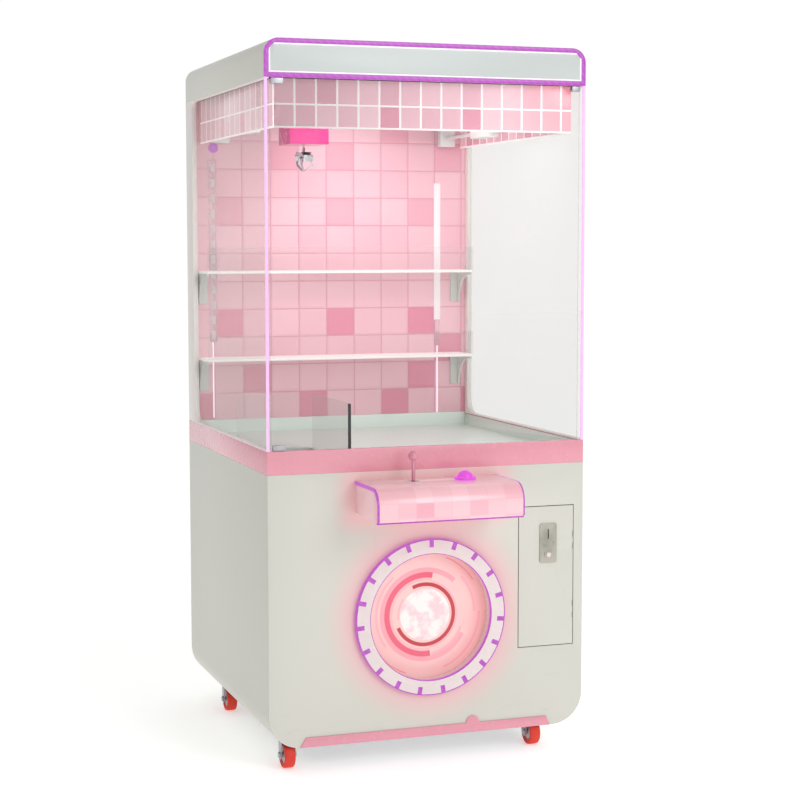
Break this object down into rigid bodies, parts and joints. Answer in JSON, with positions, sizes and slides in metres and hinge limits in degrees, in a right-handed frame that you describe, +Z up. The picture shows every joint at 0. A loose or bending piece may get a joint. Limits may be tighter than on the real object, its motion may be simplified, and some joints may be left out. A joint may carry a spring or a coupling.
{
  "type": "claw crane machine",
  "caption": "Arcade claw crane: glazed prize cabin over a cabinet with joystick console, round prize door and coin door, on fixed casters.",
  "frame": {"origin": "on the floor below the middle of the whole footprint, console included", "axes": "+Z up, +X to the player's right, +Y to the rear; the player stands at -Y"},
  "size_m": [0.93, 1.157, 1.98],
  "materials": {
    "panel_white": "satin powder coat",
    "trim_pink": "gloss",
    "frame_grey": "satin",
    "zinc_steel": "zinc plated",
    "wheel_red": "moulded",
    "clear_glass": "clear",
    "clear_acrylic": "clear cast",
    "black_trim": "matt",
    "tile_pink": "printed tile pattern",
    "led_purple": "lit diffuser",
    "light_panel": "opal",
    "crane_magenta": "gloss",
    "chrome": "polished",
    "cord_nylon": "braided",
    "shelf_white": "satin",
    "bracket_grey": "satin",
    "prize_door_pink": "translucent",
    "ring_white": "gloss",
    "ball_clear": "translucent",
    "button_magenta": "lit",
    "black_plastic": "moulded",
    "circuit_green": "solder mask"
  },
  "bodies": {
    "cabinet": {"back_wall": "tile_pink", "base_pan": "zinc_steel", "button_body": "button_magenta", "cabinet_frame": "frame_grey", "cash_box": "zinc_steel", "caster_brackets": "zinc_steel", "chute_guard": "clear_acrylic", "chute_guard_edge": "black_trim", "console_led": "led_purple", "console_shell": "shelf_white", "corner_strips": "led_purple", "electronics": "circuit_green", "front_panel": "panel_white", "gantry_rails": "shelf_white", "head_floor": "panel_white", "hinge_pins": "zinc_steel", "joystick_base": "black_plastic", "marquee_led": "led_purple", "marquee_panel": "light_panel", "pink_trim": "trim_pink", "playfield_tray": "shelf_white", "power_inlet": "black_plastic", "prize_bin": "panel_white", "prize_chute": "zinc_steel", "prize_ring": "ring_white", "prize_ring_led": "led_purple", "rear_panels": "panel_white", "roof": "panel_white", "shelf_brackets": "bracket_grey", "shelf_lips": "clear_acrylic", "shelves": "shelf_white", "side_glass": "clear_glass", "side_panels": "panel_white", "valances": "tile_pink", "window_frames": "panel_white"},
    "bridge": {"bridge": "shelf_white"},
    "trolley": {"trolley_housing": "crane_magenta", "hoist_motor": "black_plastic"},
    "drum": {"hoist_drum": "black_plastic"},
    "claw": {"claw_head": "chrome", "hoist_cord": "cord_nylon"},
    "claw_arm_1": {"claw_arm_1": "chrome"},
    "claw_arm_2": {"claw_arm_2": "chrome"},
    "claw_arm_3": {"claw_arm_3": "chrome"},
    "joystick_gimbal": {"joystick_gimbal": "black_plastic"},
    "joystick": {"joystick_stick": "chrome", "joystick_ball": "ball_clear"},
    "play_button": {"button_cap": "button_magenta"},
    "coin_door": {"coin_door": "panel_white", "coin_plate": "zinc_steel", "coin_mechanism": "black_plastic"},
    "coin_return": {"coin_return_button": "black_plastic"},
    "prize_door": {"prize_flap": "prize_door_pink"},
    "glass_door": {"front_glass": "clear_glass", "glass_fittings": "black_plastic"},
    "service_door": {"service_door": "panel_white"},
    "wheel_front_left": {"wheel_front_left": "wheel_red"},
    "wheel_front_right": {"wheel_front_right": "wheel_red"},
    "wheel_rear_left": {"wheel_rear_left": "wheel_red"},
    "wheel_rear_right": {"wheel_rear_right": "wheel_red"}
  },
  "joints": [
    {"name": "front_left_wheel_spin", "type": "hinge", "parent": "cabinet", "child": "wheel_front_left", "pos_m": [-0.404, -0.338, 0.0375], "axis": [1, 0, 0], "continuous": true},
    {"name": "front_right_wheel_spin", "type": "hinge", "parent": "cabinet", "child": "wheel_front_right", "pos_m": [0.324, -0.338, 0.0375], "axis": [1, 0, 0], "continuous": true},
    {"name": "rear_left_wheel_spin", "type": "hinge", "parent": "cabinet", "child": "wheel_rear_left", "pos_m": [-0.404, 0.32, 0.0375], "axis": [1, 0, 0], "continuous": true},
    {"name": "rear_right_wheel_spin", "type": "hinge", "parent": "cabinet", "child": "wheel_rear_right", "pos_m": [0.324, 0.32, 0.0375], "axis": [1, 0, 0], "continuous": true},
    {"name": "bridge_slide", "type": "slide", "parent": "cabinet", "child": "bridge", "axis": [0, 1, 0], "range_m": [-0.395, 0.16]},
    {"name": "trolley_slide", "type": "slide", "parent": "bridge", "child": "trolley", "axis": [1, 0, 0], "range_m": [-0.085, 0.485]},
    {"name": "claw_lift", "type": "slide", "parent": "trolley", "child": "claw", "axis": [0, 0, -1], "range_m": [0, 0.78], "deforming": ["hoist_cord"]},
    {"name": "drum_spin", "type": "hinge", "parent": "trolley", "child": "drum", "pos_m": [-0.202, 0.183, 1.78], "axis": [1, 0, 0], "range_deg": [0, 2300]},
    {"name": "claw_arm_1_open", "type": "hinge", "parent": "claw", "child": "claw_arm_1", "pos_m": [-0.18, 0.1635, 1.687], "axis": [0, -1, 0], "range_deg": [0, 32]},
    {"name": "claw_arm_2_open", "type": "hinge", "parent": "claw", "child": "claw_arm_2", "pos_m": [-0.213, 0.18255, 1.687], "axis": [0.866, 0.5, 0], "range_deg": [0, 32]},
    {"name": "claw_arm_3_open", "type": "hinge", "parent": "claw", "child": "claw_arm_3", "pos_m": [-0.213, 0.14445, 1.687], "axis": [-0.866, 0.5, 0], "range_deg": [0, 32]},
    {"name": "joystick_fore_aft", "type": "hinge", "parent": "cabinet", "child": "joystick_gimbal", "pos_m": [-0.073, -0.446, 0.774], "axis": [1, 0, 0], "range_deg": [-10, 10], "stiffness_Nm_per_rad": 0.8},
    {"name": "joystick_left_right", "type": "hinge", "parent": "joystick_gimbal", "child": "joystick", "pos_m": [-0.073, -0.446, 0.774], "axis": [0, 1, 0], "range_deg": [-10, 10], "stiffness_Nm_per_rad": 0.8},
    {"name": "play_button_press", "type": "slide", "parent": "cabinet", "child": "play_button", "axis": [0, 0, -1], "range_m": [0, 0.005], "stiffness_N_per_m": 400, "springref_m": -0.003},
    {"name": "coin_door_swing", "type": "hinge", "parent": "cabinet", "child": "coin_door", "pos_m": [0.433, -0.3735, 0.494], "axis": [0, 0, 1], "range_deg": [0, 100]},
    {"name": "coin_return_press", "type": "slide", "parent": "coin_door", "child": "coin_return", "axis": [0, 1, 0], "range_m": [0, 0.004], "stiffness_N_per_m": 300, "springref_m": -0.002},
    {"name": "prize_door_swing", "type": "hinge", "parent": "cabinet", "child": "prize_door", "pos_m": [0, -0.343, 0.5955], "axis": [1, 0, 0], "range_deg": [0, 70]},
    {"name": "glass_door_swing", "type": "hinge", "parent": "cabinet", "child": "glass_door", "pos_m": [-0.44, -0.3655, 1.378], "axis": [0, 0, -1], "range_deg": [0, 95]},
    {"name": "service_door_swing", "type": "hinge", "parent": "cabinet", "child": "service_door", "pos_m": [0.278, 0.5755, 0.48], "axis": [0, 0, -1], "range_deg": [0, 100]}
  ],
  "couplings": [
    {"joint": "drum_spin", "follows": "claw_lift", "rad_per_m": 51.282},
    {"joint": "claw_arm_2_open", "follows": "claw_arm_1_open", "ratio": 1},
    {"joint": "claw_arm_3_open", "follows": "claw_arm_1_open", "ratio": 1}
  ]
}
